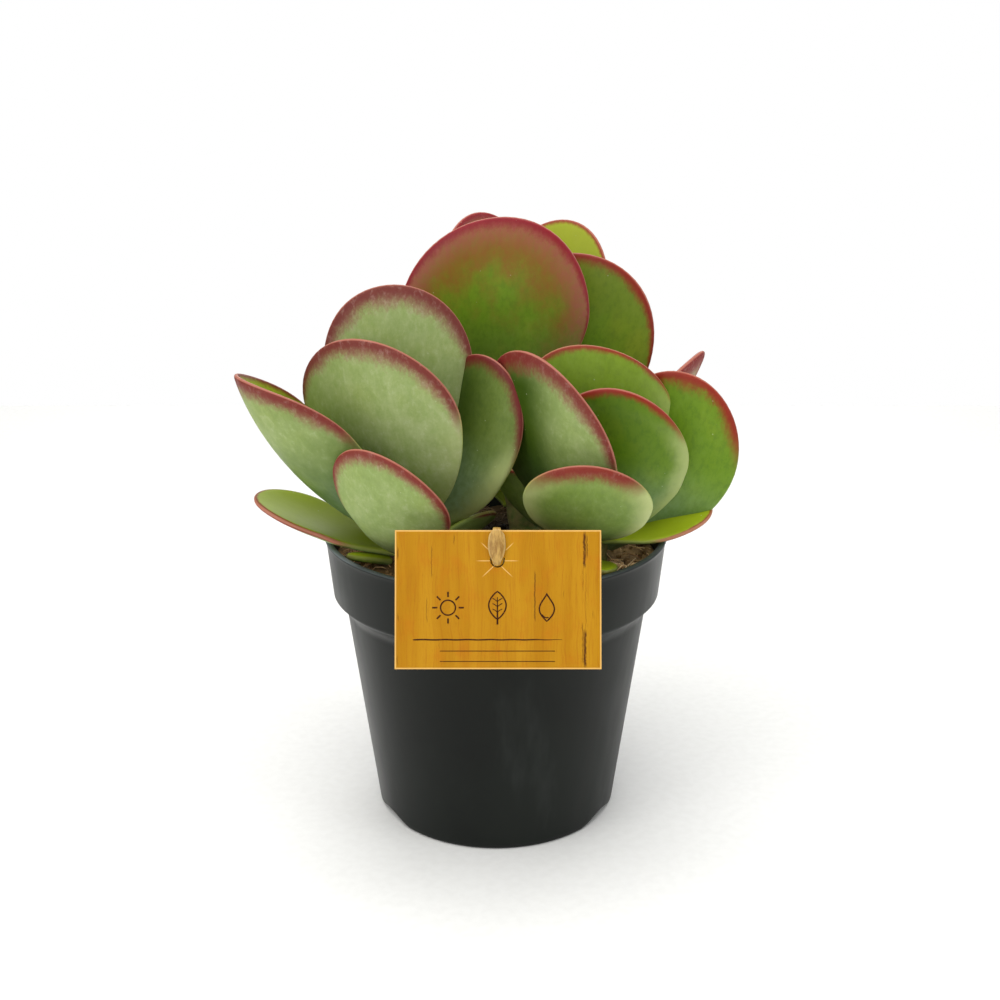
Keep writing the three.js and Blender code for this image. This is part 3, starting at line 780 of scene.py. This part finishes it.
def make_leaf(name, rosette, leaf, seed, look):
    """A leaf as two faces of rings of points round its widest place, which share their outermost ring."""
    rng = np.random.default_rng(seed)
    edge = leaf_outline(leaf)
    count = len(edge)
    centre = np.array([0, leaf["widest"] * leaf["length"]])
    reach = np.linalg.norm(edge - centre, axis=1)
    rings = leaf_rings(reach)
    share = np.concatenate([[0.0], *rings])
    at = np.concatenate([[0], *[np.arange(count)] * len(rings)]).astype(int)  # places in the outline

    # The outline wavers and ripples, but stays true at the base.
    q = np.arange(count) / count
    keep = np.clip(edge[:, 1] / leaf["length"] * 2, 0, 1)
    uneven = 1 + wave(rng, (2, 3, 5, 7), q) * OUTLINE_WAVE * keep
    lifted = wave(rng, (3, 4, 6, 9), q) * leaf["ripple"] * keep * min(1, leaf["width"] / WAVY_WIDTH)
    grow = share * (1 + (uneven[at] - 1) * share)
    flat = centre + (edge[at] - centre) * grow[:, None]
    frames = midrib(leaf)
    normal = sheet_normals(leaf, frames, *flat.T)
    sheet = on_sheet(leaf, frames, *flat.T) + normal * (lifted[at] * share ** 4)[:, None]

    true_x, true_y = (centre + (edge[at] - centre) * share[:, None]).T
    t = true_y / leaf["length"]
    from_rim = (1 - share) * reach[at]
    half = half_thickness(leaf, true_x, t, from_rim)
    outer_face = sheet + normal * half[:, None]
    inner_face = sheet - normal * half[:, None]
    shared = len(sheet) - count  # where the outermost ring starts, which both faces share
    points = np.vstack([outer_face, inner_face[:shared]])
    inner_at = np.concatenate([len(sheet) + np.arange(shared), shared + np.arange(count)])

    turn = math.radians(leaf["azimuth"])
    share_up = leaf["height"] / rosette["height"]
    base = lerp(np.array(rosette["foot"], float), np.array(rosette["top"], float), share_up)
    base += leaf["start"] * np.array([math.cos(turn), math.sin(turn)])
    points = points + np.array([*base, SOIL_LEVEL + leaf["height"]])

    def both(values):
        """The values of the outer face's points, followed by those of the inner face's own points."""
        return np.concatenate([values, values[:shared]])

    margin = np.minimum(np.linalg.norm(flat[:, None] - edge[None], axis=2).min(axis=1), from_rim)
    offset = np.full(len(sheet), seed * PATTERN_STEP)
    inner = np.concatenate([np.zeros(shared), np.full(count, 0.5), np.ones(shared)])
    ones = np.ones(len(points))
    values = {**leaf, "aside": both(true_x) / (leaf["width"] / 2), "spare": 1.0}
    attributes = {label: np.stack([ones * values[k] for k in keys], 1) for label, keys in LEAF_FIELDS.items()}
    attributes["flat"] = np.stack([both(true_x), both(true_y), both(offset)], 1)
    attributes["spot"] = np.stack([both(margin), both(t), inner], 1)
    faces = leaf_faces(count, len(rings), inner_at)
    return add_piece(name, points, faces, look, [name.replace("paddle_", "leaf_")], attributes)


def make_stem(side, rosette, look):
    """A tapering stem with the rings of old leaf scars."""
    foot = np.array([*rosette["foot"], SOIL_LEVEL])
    top = np.array([*rosette["top"], SOIL_LEVEL + rosette["height"]])
    length = float(np.linalg.norm(top - foot))
    along = np.linspace(-STEM_DEPTH, length, 90)
    profile = np.interp(along, [-STEM_DEPTH, 0, length - 3, length], [0.9, 1.0, 0.8, 0.4])
    scar_depth, scar_spacing = 0.05, 2.6
    rings = scar_depth * np.abs(np.sin(along / scar_spacing)) ** 6
    path = foot + (top - foot) / length * along[:, None]
    points, faces = tube(path, STEM_RADIUS * (profile - rings), 32)
    return add_piece(f"stalk_{side}", points, faces, look, [f"stem_{side}"])


# ---------------------------------------------------------------- pot and soil


def outside_radius(z):
    z = np.asarray(z, float)
    wall = lerp(BASE_RADIUS, WALL_TOP_RADIUS, z / WALL_TOP)
    collar_bottom = RIM_RADIUS - LIP_FLARE - COLLAR_DRAFT * (POT_HEIGHT - COLLAR_BOTTOM)
    t = np.clip((z - WALL_TOP) / (COLLAR_BOTTOM - WALL_TOP), 0, 1)
    shoulder = lerp(WALL_TOP_RADIUS, collar_bottom, 1 - np.cos(t * math.pi / 2))
    flare = np.clip((z - POT_HEIGHT + LIP_HEIGHT) / LIP_HEIGHT, 0, 1)
    collar = RIM_RADIUS - LIP_FLARE - COLLAR_DRAFT * (POT_HEIGHT - z) + LIP_FLARE * flare
    return np.where(z <= WALL_TOP, wall, np.where(z <= COLLAR_BOTTOM, shoulder, collar))


def arch_height(azimuth):
    """How high the foot's scallops reach above the ground at these azimuths."""
    raised = np.zeros_like(azimuth)
    for middle in ARCH_AZIMUTHS:
        offset = (azimuth - math.radians(middle) + math.pi) % (2 * math.pi) - math.pi
        across = BASE_RADIUS * np.sin(offset)
        inside = (np.abs(across) < ARCH_HALF_SPAN) & (np.abs(offset) < 1)
        bell = ARCH_HEIGHT * (0.5 + 0.5 * np.cos(math.pi * across / ARCH_HALF_SPAN)) ** 0.75
        raised = np.where(inside, bell, raised)
    return raised


def make_pot(look):
    turn = np.linspace(0, 2 * math.pi, POT_SIDES, endpoint=False)
    arch = np.maximum(arch_height(turn), 0.02)
    foot_round, low_band = 1.2, 6.0
    profile = [  # radius and height of each ring, from the middle of the underside to the middle of the floor
        (BASE_RADIUS - ARCH_DEPTH, 0.0),
        (BASE_RADIUS - ARCH_DEPTH, arch),
        (BASE_RADIUS - 2.2, arch),
    ]
    foot_steps = foot_round * (1 - np.cos(np.radians([0, 30, 60, 90])))
    for step in [*foot_steps, 2.4, 4.0, low_band]:
        z = arch + step * (low_band - arch) / low_band
        pulled = foot_round * (1 - math.sqrt(1 - (1 - min(step / foot_round, 1)) ** 2))
        profile.append((outside_radius(z) - pulled, z))
    heights = [*np.linspace(12, WALL_TOP - 1, 10), *np.linspace(WALL_TOP, COLLAR_BOTTOM, 9)]
    heights += [*np.linspace(COLLAR_BOTTOM + 0.6, POT_HEIGHT - LIP_HEIGHT, 7), POT_HEIGHT - 2, POT_HEIGHT - 1]
    profile += [(outside_radius(z), z) for z in heights]
    outer, inner, lip_flat = 0.7, 0.5, 1.5  # the lip's roundings, and where the inner one starts
    for a in np.radians([0, 25, 50, 75, 90]):
        profile.append((RIM_RADIUS - outer + outer * math.cos(a), POT_HEIGHT - outer + outer * math.sin(a)))
    for a in np.radians([25, 50, 75, 90]):
        height = POT_HEIGHT - inner + inner * math.cos(a)
        profile.append((RIM_RADIUS - lip_flat - inner * math.sin(a), height))
    inside = [POT_HEIGHT - 4, *np.linspace(POT_HEIGHT - 7, COLLAR_BOTTOM, 6), *np.linspace(81, WALL_TOP, 6)]
    profile += [(outside_radius(z) - WALL, z) for z in [*inside, 50, 25, 4]]
    profile.append((outside_radius(POT_FLOOR) - WALL - 1, POT_FLOOR))
    points = np.vstack([(0, 0, 0), *(ring(*at, turn) for at in profile), (0, 0, POT_FLOOR)])
    faces = capped_faces(len(profile), POT_SIDES)
    return add_piece("pot_shell", points, faces, look, ["pot"])


def soil_height(x, y):
    return SOIL_LEVEL + SOIL_HUMP * np.sin(x / 9) * np.cos(y / 11 + 1)


def crumb(rng, size):
    """A small lump: an icosphere with every corner pushed in or out."""
    ball = bmesh.new()
    bmesh.ops.create_icosphere(ball, subdivisions=1, radius=1)
    stretch = rng.uniform(0.6, 1.3, 3)
    points = np.array([v.co for v in ball.verts]) * stretch * size
    points *= rng.uniform(0.72, 1.25, (len(points), 1))
    faces = [tuple(v.index for v in f.verts) for f in ball.faces]
    ball.free()
    return points, faces


def spot_in_pot(rng, inner=0.0):
    """A random spot on the soil, clear of the pot's wall."""
    radius = SOIL_SPREAD * math.sqrt(rng.uniform(inner, 1))
    turn = rng.uniform(0, 2 * math.pi)
    return radius * math.cos(turn), radius * math.sin(turn)


def make_soil(look):
    """The peat: one closed lump with an uneven top, and loose crumbs on it."""
    rng = np.random.default_rng(7)
    sides, rings = 128, 44
    turn = np.linspace(0, 2 * math.pi, sides, endpoint=False)
    edge = float(outside_radius(SOIL_LEVEL)) - WALL - SOIL_GAP
    points = [np.array([[0, 0, SOIL_LEVEL + 0.2]])]
    for k in range(1, rings + 1):
        radius = edge * k / rings
        x, y = radius * np.cos(turn), radius * np.sin(turn)
        rough = rng.normal(0, SOIL_ROUGH, sides) * (1 if k < rings else 0.3)
        points.append(ring(radius, soil_height(x, y) + rough, turn))
    below = (90, 82, 75, 40, 4)
    points += [ring(outside_radius(z) - WALL - SOIL_GAP, z, turn) for z in below]
    points.append(np.array([[0, 0, SOIL_BOTTOM]]))
    heap = Heap()
    heap.add(np.vstack(points), [face[::-1] for face in capped_faces(rings + len(below), sides)])
    for _ in range(CRUMBS):
        x, y = spot_in_pot(rng)
        size = 0.35 + 1.5 * rng.random() ** 3
        lump, lump_faces = crumb(rng, size)
        lump = lump + (x, y, float(soil_height(x, y)) + 0.35 * size)
        heap.add(lump, lump_faces, float(rng.random() < PALE_CRUMBS) * rng.uniform(0.2, 0.8))
    return heap.piece("peat_bed", look, "peat", ["soil"])


def fibre(rng, x, y, heading, length, radius, arch, lift=0.5):
    """A thin wandering root that lies on the soil, humped by arch in its middle."""
    count = 9
    t = np.linspace(0, 1, count)
    bend = heading + np.cumsum(rng.normal(0, 0.22, count))
    px = x + np.cumsum(np.cos(bend)) * length / count
    py = y + np.cumsum(np.sin(bend)) * length / count
    pz = soil_height(px, py) + lift + arch * np.sin(math.pi * t) + rng.normal(0, 0.12, count)
    pz[[0, -1]] -= 0.7
    inside = np.hypot(px, py) < FIBRE_REACH
    if inside.sum() < 4:
        return None
    path = np.stack([px, py, pz], 1)[inside]
    thick = radius * np.interp(np.linspace(0, 1, len(path)), [0, 0.2, 0.8, 1], [0.5, 1, 0.9, 0.3])
    return tube(path, thick, 5)


def make_fibres(look):
    rng = np.random.default_rng(21)
    heap = Heap()
    for _ in range(FIBRES):
        x, y = spot_in_pot(rng, 0.1)
        radius, heading = rng.uniform(0.08, 0.22), rng.uniform(0, 2 * math.pi)
        strand = fibre(rng, x, y, heading, rng.uniform(4, 16), radius, rng.uniform(0, 1.6))
        if strand is not None:
            heap.add(*strand, rng.uniform(0.0, 0.9))
    # Three knots of pale roots show beside the label, one on the right and two on the left.
    for middle, count in (((45, -14), 15), ((-43, -13), 12), ((-50, -8), 8)):
        for k in range(count):
            heading = 2 * math.pi * k / count + rng.normal(0, 0.2)
            strand = fibre(rng, *middle, heading, rng.uniform(5, 10), 0.27, rng.uniform(0.5, 2.2), 1.2)
            if strand is not None:
                heap.add(*strand, rng.uniform(0.7, 1.0))
    return heap.piece("coir_fibres", look, "peat")


# ---------------------------------------------------------------- label


def on_card(across, up, out):
    """A point of the label: from its left edge, up from its lower edge, and out in front of its back."""
    across, up, out = np.broadcast_arrays(*(np.asarray(v, float) for v in (across, up, out)))
    x = CARD_MIDDLE - CARD_WIDTH / 2 + across
    y = CARD_BOTTOM[0] + up * math.sin(CARD_LEAN) - out * math.cos(CARD_LEAN)
    z = CARD_BOTTOM[1] + up * math.cos(CARD_LEAN) + out * math.sin(CARD_LEAN)
    return np.stack([x, y, z], -1)


def off_card(points):
    """The way back: across and up the card, and 1 on the front half of its thickness, for points in space."""
    x, y, z = (points - on_card(0, 0, 0)).T
    lean = np.array([math.sin(CARD_LEAN), math.cos(CARD_LEAN)])
    up, out = y * lean[0] + z * lean[1], z * lean[0] - y * lean[1]
    return np.stack([x, up, out > CARD_THICKNESS / 2], 1)


def slit_line():
    """The U of the slit that the stake's tip goes into, as points on the card."""
    middle, level = SLIT_MIDDLE
    bend = np.radians(np.linspace(180, 360, 15))
    arc = np.stack([middle + SLIT_RADIUS * np.cos(bend), level - 0.2 + SLIT_RADIUS * np.sin(bend)], 1)
    ends = np.array([[middle - SLIT_RADIUS - 0.15, level + 0.6], [middle + SLIT_RADIUS + 0.15, level + 0.6]])
    return np.vstack([ends[:1], arc, ends[1:]])


def ribbon(line, width, low, high, closed=False):
    """A flat bar along a line on the card, between two distances in front of its back."""
    line = np.asarray(line, float)
    count = len(line)
    if closed:
        ahead = np.roll(line, -1, axis=0) - np.roll(line, 1, axis=0)
    else:
        ahead = np.gradient(line, axis=0)
    ahead /= np.linalg.norm(ahead, axis=1)[:, None]
    aside = np.stack([-ahead[:, 1], ahead[:, 0]], 1) * np.asarray(width).reshape(-1, 1) / 2
    corners = [(line + aside, low), (line - aside, low), (line - aside, high), (line + aside, high)]
    points = np.vstack([on_card(edge[:, 0], edge[:, 1], out) for edge, out in corners])
    faces = []
    for i in range(count if closed else count - 1):
        j = (i + 1) % count
        for k in range(4):
            a, b = k * count, (k + 1) % 4 * count
            faces.append((a + i, a + j, b + j, b + i))
    if not closed:
        faces.append(tuple(k * count for k in range(4)))
        faces.append(tuple(k * count + count - 1 for k in (3, 2, 1, 0)))
    return points, faces


def make_card(look):
    """The card: a thin slab with softened edges, cut through by the slit."""
    columns, lines, soft = 64, 43, 0.12
    across = np.linspace(0, CARD_WIDTH, columns + 1)
    up = np.linspace(0, CARD_HEIGHT, lines + 1)
    grid_x, grid_y = (g.ravel() for g in np.meshgrid(across, up))
    edge = (grid_x == 0) | (grid_x == CARD_WIDTH) | (grid_y == 0) | (grid_y == CARD_HEIGHT)
    front = on_card(grid_x, grid_y, np.where(edge, CARD_THICKNESS - soft, CARD_THICKNESS))
    back = on_card(grid_x, grid_y, np.where(edge, soft, 0.0))
    faces = []
    size = len(front)

    def at(i, j):
        return j * (columns + 1) + i

    for j in range(lines):
        for i in range(columns):
            quad = (at(i, j), at(i + 1, j), at(i + 1, j + 1), at(i, j + 1))
            faces += [quad, tuple(size + k for k in quad[::-1])]
    around = [at(i, 0) for i in range(columns)] + [at(columns, j) for j in range(lines)]
    around += [at(i, lines) for i in range(columns, 0, -1)] + [at(0, j) for j in range(lines, 0, -1)]
    for k, a in enumerate(around):
        b = around[(k + 1) % len(around)]
        faces.append((a, size + a, size + b, b))
    flat = {"flat": np.stack([np.tile(grid_x, 2), np.tile(grid_y, 2), np.repeat([1.0, 0.0], size)], 1)}
    card = add_piece("label_board", np.vstack([front, back]), faces, look, ["label_card"], flat)
    cut_slit(card, look)
    return card


def cut_slit(card, look):
    """Cuts the slit through the card and gives the cut's own corners their place on it."""
    cutter_points, cutter_faces = ribbon(slit_line(), SLIT_WIDTH, -1.0, CARD_THICKNESS + 1.0)
    cutter_mesh = bpy.data.meshes.new("slit")
    cutter_mesh.from_pydata((cutter_points * MM).tolist(), [], cutter_faces)
    cutter_mesh.materials.append(look)
    cutter = bpy.data.objects.new("slit", cutter_mesh)
    bpy.context.scene.collection.objects.link(cutter)
    for body in (cutter_mesh, card.data):
        shape = bmesh.new()
        shape.from_mesh(body)
        bmesh.ops.recalc_face_normals(shape, faces=shape.faces)
        shape.to_mesh(body)
        shape.free()
    cut = card.modifiers.new("slit", "BOOLEAN")
    cut.operation = "DIFFERENCE"
    cut.solver = "EXACT"
    cut.object = cutter
    bpy.context.view_layer.update()
    done = bpy.data.meshes.new_from_object(card.evaluated_get(bpy.context.evaluated_depsgraph_get()))
    card.modifiers.clear()
    card.data = done
    card.data.name = "label_board"
    card.data.polygons.foreach_set("use_smooth", [False] * len(card.data.polygons))
    bpy.data.objects.remove(cutter)

    corners = np.empty(len(done.vertices) * 3)
    done.vertices.foreach_get("co", corners)
    on_it = off_card(corners.reshape(-1, 3) / MM).astype(np.float32)
    done.attributes["flat"].data.foreach_set("vector", on_it.ravel())
    middle, facing = Vector(on_card(*SLIT_MIDDLE, 0.4) * MM), Vector(on_card(0, 0, 1) - on_card(0, 0, 0))
    # The walls of the slit are marked for painted shade.
    walls = [abs(f.normal.dot(facing)) < 0.5 and (f.center - middle).length < 3.5 * MM for f in done.polygons]
    done.attributes.new("slit", "FLOAT", "FACE").data.foreach_set("value", np.float32(walls))


def circle(middle, radius, count=40, start=0.0, end=360.0):
    """Points of a whole circle, or of an arc with both its ends."""
    turn = np.radians(np.linspace(start, end, count, endpoint=end - start < 360))
    return np.stack([middle[0] + radius * np.cos(turn), middle[1] + radius * np.sin(turn)], 1)


def pointed(half_widths, foot, length):
    """A closed shape that stands on a foot height, as wide at each step up as these half widths say."""
    up = foot + np.linspace(0, length, len(half_widths))
    return np.vstack([np.stack([half_widths, up], 1), np.stack([-half_widths, up], 1)[-2:0:-1]])


def make_print(look):
    """Plain care signs and ruled lines in thin ink: a sun, a leaf and a drop."""
    low, high = CARD_THICKNESS - INK_DEPTH, CARD_THICKNESS + INK_HEIGHT
    heap = Heap()

    def draw(line, width=0.45, closed=False):
        heap.add(*ribbon(line, width, low, high, closed))

    level = 19.0
    sun, leaf, drop = (16.5, level), (31.8, level), (47.1, level)
    draw(circle(sun, 2.3), closed=True)
    for angle in np.radians(np.arange(0, 360, 45)):
        ray = np.array([math.cos(angle), math.sin(angle)])
        draw(np.array([sun + ray * s for s in (3.3, 4.1, 4.9)]), 0.5)

    t = np.linspace(0, 1, 18)
    draw(pointed(2.7 * np.sin(math.pi * t) ** 0.8, -3.6, 8.6) + leaf, closed=True)
    stalk = np.stack([np.zeros(9), np.linspace(-5.2, 3.2, 9)], 1)
    draw(stalk + leaf, np.linspace(0.6, 0.25, 9))
    for height in (-1.4, 0.3, 1.9):
        for sign in (-1, 1):
            vein = np.array([(0, height), (sign * 0.75, height + 0.6), (sign * 1.5, height + 1.0)])
            draw(vein + leaf, 0.25)

    draw(pointed(2.9 * np.sin(math.pi * t) * (1 - t) ** 0.35, -4.2, 8.6) + drop, closed=True)
    draw(circle((drop[0], level - 1.6), 1.5, 10, 200, 290), 0.35)

    # The long ruled line fades at its right end; two writing lines lie under it.
    x = np.linspace(5.6, 51.8, 60)
    width = np.interp(x, [5.6, 6.4, 42, 51.8], [0.2, 0.45, 0.4, 0.1])
    draw(np.stack([x, 9.1 + 0.05 * np.sin(x * 0.9)], 1), width)
    x = np.linspace(14.0, 49.6, 30)
    for line_level in (5.6, 2.4):
        draw(np.stack([x, np.full(30, line_level)], 1), 0.22)
    return heap.piece("label_print", look, "card")


def catmull_rom(knots, per_span):
    """A smooth path through the knots."""
    knots = np.asarray(knots, float)
    padded = np.vstack([2 * knots[0] - knots[1], knots, 2 * knots[-1] - knots[-2]])
    path = []
    for i in range(1, len(padded) - 2):
        a, b, c, d = padded[i - 1:i + 3]
        for t in np.linspace(0, 1, per_span, endpoint=False):
            path.append(0.5 * (2 * b + (c - a) * t + (2 * a - 5 * b + 4 * c - d) * t ** 2
                               + (3 * b - a - 3 * c + d) * t ** 3))
    path.append(padded[-2])
    return np.array(path)


def flattened(wave_height, power):
    """A sine or cosine pressed towards a square wave, so that a circle becomes a rounded bar."""
    return np.sign(wave_height) * np.abs(wave_height) ** power


def make_stake(look):
    """The stake: its tip leaves the slit, lies on the card, folds over its edge and goes into the soil."""
    middle = STAKE_MIDDLE - CARD_MIDDLE + CARD_WIDTH / 2
    spots = [  # up the card, out from its back, width, thickness
        (31.95, 0.35, 1.7, 0.5),
        (32.7, 1.0, 2.3, 0.7),
        (33.8, 1.3, 3.1, 0.8),
        (35.2, 1.45, 4.4, 0.9),
        (38.0, 1.55, 5.5, 0.95),
        (41.3, 1.5, 4.9, 0.95),
        (42.6, 1.4, 3.2, 0.9),
        (43.25, 0.95, 2.3, 0.8),
        (43.5, 0.3, 2.2, 0.7),
        (43.2, -0.5, 2.6, 0.7),
    ]
    knots = [(*on_card(middle, up, out), width, thick) for up, out, width, thick in spots]
    leg_y = float(on_card(middle, CARD_HEIGHT + SOIL_GAP, -SOIL_GAP)[1]) + 0.4
    for z, width in ((117.0, 3.6), (108.0, 4.6), (97.0, 4.8), (89.0, 3.4), (STAKE_FOOT + 0.2, 0.8)):
        knots.append((STAKE_MIDDLE, leg_y, z, width, 0.7))
    path = catmull_rom(knots, 8)
    place, width, thick = path[:, :3], path[:, 3], path[:, 4]
    ahead = np.gradient(place, axis=0)
    ahead /= np.linalg.norm(ahead, axis=1)[:, None]
    right = np.array([1.0, 0.0, 0.0])
    out = np.cross(ahead, right)
    sides = 28
    turn = np.linspace(0, 2 * math.pi, sides, endpoint=False)
    ridge = 1 + 0.09 * np.cos(turn * 14)
    rows = []
    for k in range(len(place)):
        shift_x = flattened(np.cos(turn), 0.8) * width[k] / 2
        shift_out = flattened(np.sin(turn), 0.6) * ridge * thick[k] / 2
        rows.append(place[k] + shift_x[:, None] * right + shift_out[:, None] * out[k])
    points = np.vstack([place[:1], *rows, place[-1:]])
    faces = capped_faces(len(rows), sides)
    across = np.concatenate([[0], np.tile(flattened(np.cos(turn), 0.8), len(rows)), [0]])
    return add_piece("label_stake", points, faces, look, ["label_clip"], {"across": across})


# ---------------------------------------------------------------- the studio


def make_studio():
    scene = bpy.context.scene
    scene.view_settings.view_transform = "Standard"
    floor = bpy.data.meshes.new("floor")
    reach = 0.62  # metres; farther out it would be dim against the white world
    corners = [(-reach, -reach, 0), (reach, -reach, 0), (reach, reach, 0), (-reach, reach, 0)]
    floor.from_pydata(corners, [], [(0, 1, 2, 3)])
    floor.materials.append(floor_look())
    ground = bpy.data.objects.new("floor", floor)
    scene.collection.objects.link(ground)

    world = bpy.data.worlds.new("studio")
    scene.world = world
    world.use_nodes = True
    tree = world.node_tree
    tree.nodes.clear()
    output = tree.nodes.new("ShaderNodeOutputWorld")
    chooser = tree.nodes.new("ShaderNodeMixShader")  # a dim world lights the plant, a white one is seen
    path = tree.nodes.new("ShaderNodeLightPath")
    tree.links.new(path.outputs["Is Camera Ray"], chooser.inputs[0])
    for slot, colour, strength in ((1, (0.97, 0.985, 1.0, 1), 0.2), (2, (1, 1, 1, 1), 1.0)):
        background = tree.nodes.new("ShaderNodeBackground")
        background.inputs["Color"].default_value = colour
        background.inputs["Strength"].default_value = strength
        tree.links.new(background.outputs[0], chooser.inputs[slot])
    tree.links.new(chooser.outputs[0], output.inputs[0])

    aim = Vector((0, 0, 0.1))
    softboxes = [  # name, place, size, power, warmth
        ("overhead", (-0.1, -0.15, 1.15), (1.3, 1.1), 12.5, (1.0, 0.99, 0.97)),
        ("front", (-0.25, -1.3, 0.55), (0.9, 0.9), 4.0, (1.0, 0.99, 0.97)),
        ("left", (-1.0, -0.75, 0.5), (0.7, 1.1), 6.5, (1.0, 0.99, 0.97)),
        ("right", (1.05, -0.55, 0.5), (0.6, 1.1), 4.5, (0.97, 0.99, 1.0)),
        ("behind", (0.1, 1.1, 0.7), (1.4, 0.8), 6.0, (1.0, 1.0, 1.0)),
    ]
    for name, place, size, power, tint in softboxes:
        light = bpy.data.lights.new(name, "AREA")
        light.shape = "RECTANGLE"
        light.size, light.size_y = size
        light.energy = power
        light.color = tint
        box = bpy.data.objects.new(name, light)
        box.location = place
        box.rotation_euler = (aim - Vector(place)).to_track_quat("-Z", "Y").to_euler()
        scene.collection.objects.link(box)

    camera = bpy.data.cameras.new("camera")
    camera.lens = CAMERA_LENS
    camera.sensor_width = 36
    camera.clip_start = 0.01
    camera.clip_end = 50
    eye = bpy.data.objects.new("camera", camera)
    eye.location = Vector(CAMERA_PLACE) * MM
    eye.rotation_euler = (math.radians(90 - CAMERA_PITCH), 0, 0)
    scene.collection.objects.link(eye)
    scene.camera = eye


make_studio()
make_pot(pot_look())
make_soil(peat_look())
make_fibres(fibre_look())
stem_skin = stem_look()
leaf_skin = leaf_look()
leaf_number = 0
for side, rosette in ROSETTES.items():
    make_stem(side, rosette, stem_skin)
    for leaf_name, leaf_shape in rosette["leaves"].items():
        leaf_number += 1
        make_leaf(f"paddle_{side}_{leaf_name}", rosette, leaf_shape, leaf_number, leaf_skin)
make_card(card_look())
make_print(ink_look())
make_stake(stake_look())
